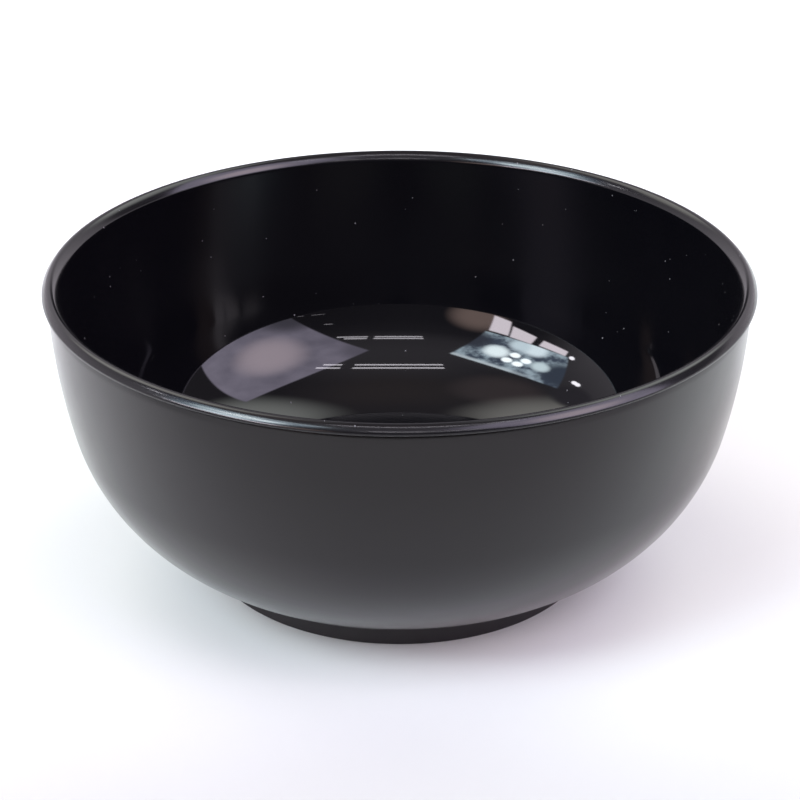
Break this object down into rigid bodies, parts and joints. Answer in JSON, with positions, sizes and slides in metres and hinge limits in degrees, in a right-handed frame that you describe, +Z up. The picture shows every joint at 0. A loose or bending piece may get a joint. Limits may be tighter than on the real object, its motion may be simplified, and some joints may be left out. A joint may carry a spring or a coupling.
{
  "type": "mixing bowl",
  "caption": "Round open bowl for mixing hair colour, with a polished inside and lip, a satin outer skin and a stepped-in foot with a rubber ring.",
  "frame": {"origin": "centre of the rest plane, under the middle of the bowl", "axes": "+Z up through the mouth, along the axis of the round bowl"},
  "size_m": [0.15, 0.15, 0.067],
  "materials": {
    "gloss_black": "polished moulded plastic, mirror-like inside",
    "satin_charcoal": "fine satin, soft grazing sheen",
    "foot_black": "fine matte moulded plastic",
    "ring_rubber": "matte rubber with a fine grain"
  },
  "bodies": {
    "root": {"bowl_body": "gloss_black", "outer_skin": "satin_charcoal", "foot_ring": "foot_black", "non_slip_ring": "ring_rubber"}
  },
  "joints": []
}
